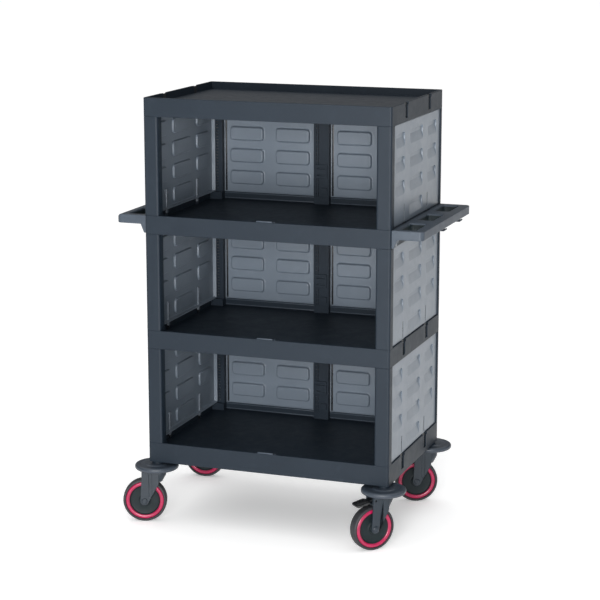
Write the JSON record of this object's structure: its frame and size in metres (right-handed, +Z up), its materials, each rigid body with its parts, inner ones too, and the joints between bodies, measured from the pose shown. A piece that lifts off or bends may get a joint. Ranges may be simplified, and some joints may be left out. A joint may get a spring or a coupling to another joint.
{
  "type": "serving cart",
  "caption": "Open-fronted serving cart of moulded plastic: recessed tray decks on posts, embossed side and back panels, push handles with finger openings and braked swivel casters.",
  "frame": {"origin": "on the floor under the middle of the decks", "axes": "+X to the cart's right, +Y to its closed back, +Z up"},
  "size_m": [0.886, 0.5936, 1.211],
  "materials": {
    "deck": "fine moulded grain, dark slate",
    "post": "fine moulded grain, dark slate",
    "panel": "satin moulded grey",
    "clip": "moulded, dark slate",
    "handle": "fine moulded grain, dark slate",
    "bumper": "satin, dark slate",
    "fork": "satin glass-filled plastic",
    "pedal": "satin black",
    "hub": "satin dark grey",
    "tyre": "dark grey soft tread",
    "ring": "glossy crimson",
    "steel": "zinc plated"
  },
  "bodies": {
    "cart": {"base_deck": "deck", "lower_shelf": "deck", "upper_shelf": "deck", "top_tray": "deck", "front_post_left_lower": "post", "rear_post_left_lower": "post", "side_panel_left_lower": "panel", "back_panel_left_lower": "panel", "front_post_right_lower": "post", "rear_post_right_lower": "post", "side_panel_right_lower": "panel", "back_panel_right_lower": "panel", "centre_post_lower": "post", "front_post_left_middle": "post", "rear_post_left_middle": "post", "side_panel_left_middle": "panel", "back_panel_left_middle": "panel", "front_post_right_middle": "post", "rear_post_right_middle": "post", "side_panel_right_middle": "panel", "back_panel_right_middle": "panel", "centre_post_middle": "post", "front_post_left_upper": "post", "rear_post_left_upper": "post", "side_panel_left_upper": "panel", "back_panel_left_upper": "panel", "front_post_right_upper": "post", "rear_post_right_upper": "post", "side_panel_right_upper": "panel", "back_panel_right_upper": "panel", "centre_post_upper": "post", "panel_clips": "clip", "left_handle": "handle", "right_handle": "handle", "handle_screws": "steel", "caster_stems": "steel", "corner_bumpers": "bumper"},
    "swivel_front_left": {"fork_front_left": "fork", "axle_front_left": "steel"},
    "wheel_front_left": {"wheel_hub_front_left": "hub", "tyre_front_left": "tyre", "wheel_rings_front_left": "ring"},
    "swivel_front_right": {"fork_front_right": "fork", "axle_front_right": "steel"},
    "wheel_front_right": {"wheel_hub_front_right": "hub", "tyre_front_right": "tyre", "wheel_rings_front_right": "ring"},
    "pedal_front_right": {"brake_pedal_front_right": "pedal"},
    "swivel_rear_left": {"fork_rear_left": "fork", "axle_rear_left": "steel"},
    "wheel_rear_left": {"wheel_hub_rear_left": "hub", "tyre_rear_left": "tyre", "wheel_rings_rear_left": "ring"},
    "pedal_rear_left": {"brake_pedal_rear_left": "pedal"},
    "swivel_rear_right": {"fork_rear_right": "fork", "axle_rear_right": "steel"},
    "wheel_rear_right": {"wheel_hub_rear_right": "hub", "tyre_rear_right": "tyre", "wheel_rings_rear_right": "ring"}
  },
  "joints": [
    {"name": "swivel_turn_front_left", "type": "hinge", "parent": "cart", "child": "swivel_front_left", "pos_m": [-0.337, -0.221, 0.1577], "axis": [0, 0, 1], "continuous": true},
    {"name": "wheel_roll_front_left", "type": "hinge", "parent": "swivel_front_left", "child": "wheel_front_left", "pos_m": [-0.37314, -0.23274, 0.0625], "axis": [-0.309, 0.9511, 0], "continuous": true},
    {"name": "swivel_turn_front_right", "type": "hinge", "parent": "cart", "child": "swivel_front_right", "pos_m": [0.337, -0.221, 0.1577], "axis": [0, 0, 1], "continuous": true},
    {"name": "wheel_roll_front_right", "type": "hinge", "parent": "swivel_front_right", "child": "wheel_front_right", "pos_m": [0.31108, -0.24879, 0.0625], "axis": [-0.7314, 0.682, 0], "continuous": true},
    {"name": "brake_press_front_right", "type": "hinge", "parent": "swivel_front_right", "child": "pedal_front_right", "pos_m": [0.31108, -0.24879, 0.1432], "axis": [0.7314, -0.682, 0], "range_deg": [0, 14]},
    {"name": "swivel_turn_rear_left", "type": "hinge", "parent": "cart", "child": "swivel_rear_left", "pos_m": [-0.337, 0.221, 0.1577], "axis": [0, 0, 1], "continuous": true},
    {"name": "wheel_roll_rear_left", "type": "hinge", "parent": "swivel_rear_left", "child": "wheel_rear_left", "pos_m": [-0.37485, 0.21769, 0.0625], "axis": [-0.0872, 0.9962, 0], "continuous": true},
    {"name": "brake_press_rear_left", "type": "hinge", "parent": "swivel_rear_left", "child": "pedal_rear_left", "pos_m": [-0.37485, 0.21769, 0.1432], "axis": [0.0872, -0.9962, 0], "range_deg": [0, 14]},
    {"name": "swivel_turn_rear_right", "type": "hinge", "parent": "cart", "child": "swivel_rear_right", "pos_m": [0.337, 0.221, 0.1577], "axis": [0, 0, 1], "continuous": true},
    {"name": "wheel_roll_rear_right", "type": "hinge", "parent": "swivel_rear_right", "child": "wheel_rear_right", "pos_m": [0.30256, 0.20494, 0.0625], "axis": [-0.4226, 0.9063, 0], "continuous": true}
  ]
}
